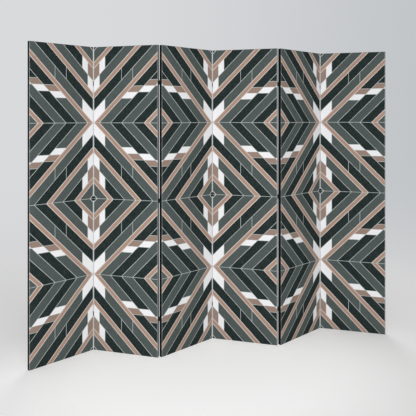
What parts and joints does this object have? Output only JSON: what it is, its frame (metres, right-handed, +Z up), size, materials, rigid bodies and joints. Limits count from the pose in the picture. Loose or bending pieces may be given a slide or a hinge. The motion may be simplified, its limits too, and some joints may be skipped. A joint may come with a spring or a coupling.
{
  "type": "folding room divider",
  "caption": "Free-standing folding screen: tall narrow canvas-covered wooden frames, printed with nested diamonds, butt-hinged edge to edge in a zigzag.",
  "frame": {"origin": "middle of the footprint on the floor, with the screen open in its zigzag", "axes": "+X along the screen to the right seen from its front, +Y from the front to the back, +Z up"},
  "size_m": [2.1972, 0.2038, 1.8],
  "materials": {
    "frame": "black paint, satin",
    "printed_canvas": "woven canvas with a matt print of dark green, grey-green, blush and white bands",
    "hinge_steel": "black lacquered steel, satin"
  },
  "bodies": {
    "panel_1": {"panel_1_left_stile": "frame", "panel_1_right_stile": "frame", "panel_1_top_rail": "frame", "panel_1_middle_rail": "frame", "panel_1_bottom_rail": "frame", "panel_1_front_canvas": "printed_canvas", "panel_1_back_canvas": "printed_canvas", "panel_1_hinge_leaves": "hinge_steel", "panel_1_hinge_screws": "hinge_steel", "fold_1_hinge_pins": "hinge_steel"},
    "panel_2": {"panel_2_left_stile": "frame", "panel_2_right_stile": "frame", "panel_2_top_rail": "frame", "panel_2_middle_rail": "frame", "panel_2_bottom_rail": "frame", "panel_2_front_canvas": "printed_canvas", "panel_2_back_canvas": "printed_canvas", "panel_2_hinge_leaves": "hinge_steel", "panel_2_hinge_screws": "hinge_steel", "fold_2_hinge_pins": "hinge_steel"},
    "panel_3": {"panel_3_left_stile": "frame", "panel_3_right_stile": "frame", "panel_3_top_rail": "frame", "panel_3_middle_rail": "frame", "panel_3_bottom_rail": "frame", "panel_3_front_canvas": "printed_canvas", "panel_3_back_canvas": "printed_canvas", "panel_3_hinge_leaves": "hinge_steel", "panel_3_hinge_screws": "hinge_steel", "fold_3_hinge_pins": "hinge_steel"},
    "panel_4": {"panel_4_left_stile": "frame", "panel_4_right_stile": "frame", "panel_4_top_rail": "frame", "panel_4_middle_rail": "frame", "panel_4_bottom_rail": "frame", "panel_4_front_canvas": "printed_canvas", "panel_4_back_canvas": "printed_canvas", "panel_4_hinge_leaves": "hinge_steel", "panel_4_hinge_screws": "hinge_steel", "fold_4_hinge_pins": "hinge_steel"},
    "panel_5": {"panel_5_left_stile": "frame", "panel_5_right_stile": "frame", "panel_5_top_rail": "frame", "panel_5_middle_rail": "frame", "panel_5_bottom_rail": "frame", "panel_5_front_canvas": "printed_canvas", "panel_5_back_canvas": "printed_canvas", "panel_5_hinge_leaves": "hinge_steel", "panel_5_hinge_screws": "hinge_steel", "fold_5_hinge_pins": "hinge_steel"},
    "panel_6": {"panel_6_left_stile": "frame", "panel_6_right_stile": "frame", "panel_6_top_rail": "frame", "panel_6_middle_rail": "frame", "panel_6_bottom_rail": "frame", "panel_6_front_canvas": "printed_canvas", "panel_6_back_canvas": "printed_canvas", "panel_6_hinge_leaves": "hinge_steel", "panel_6_hinge_screws": "hinge_steel"}
  },
  "joints": [
    {"name": "fold_3", "type": "hinge", "parent": "panel_3", "child": "panel_4", "pos_m": [0, 0.08283, 0.9], "axis": [0, 0, -1], "range_deg": [-55.5, 124.5]},
    {"name": "fold_4", "type": "hinge", "parent": "panel_4", "child": "panel_5", "pos_m": [0.36686, -0.08283, 0.9], "axis": [0, 0, 1], "range_deg": [-55.5, 124.5]},
    {"name": "fold_5", "type": "hinge", "parent": "panel_5", "child": "panel_6", "pos_m": [0.73371, 0.08283, 0.9], "axis": [0, 0, -1], "range_deg": [-55.5, 124.5]},
    {"name": "fold_2", "type": "hinge", "parent": "panel_3", "child": "panel_2", "pos_m": [-0.36686, -0.08283, 0.9], "axis": [0, 0, -1], "range_deg": [-55.5, 124.5]},
    {"name": "fold_1", "type": "hinge", "parent": "panel_2", "child": "panel_1", "pos_m": [-0.73371, 0.08283, 0.9], "axis": [0, 0, 1], "range_deg": [-55.5, 124.5]}
  ]
}
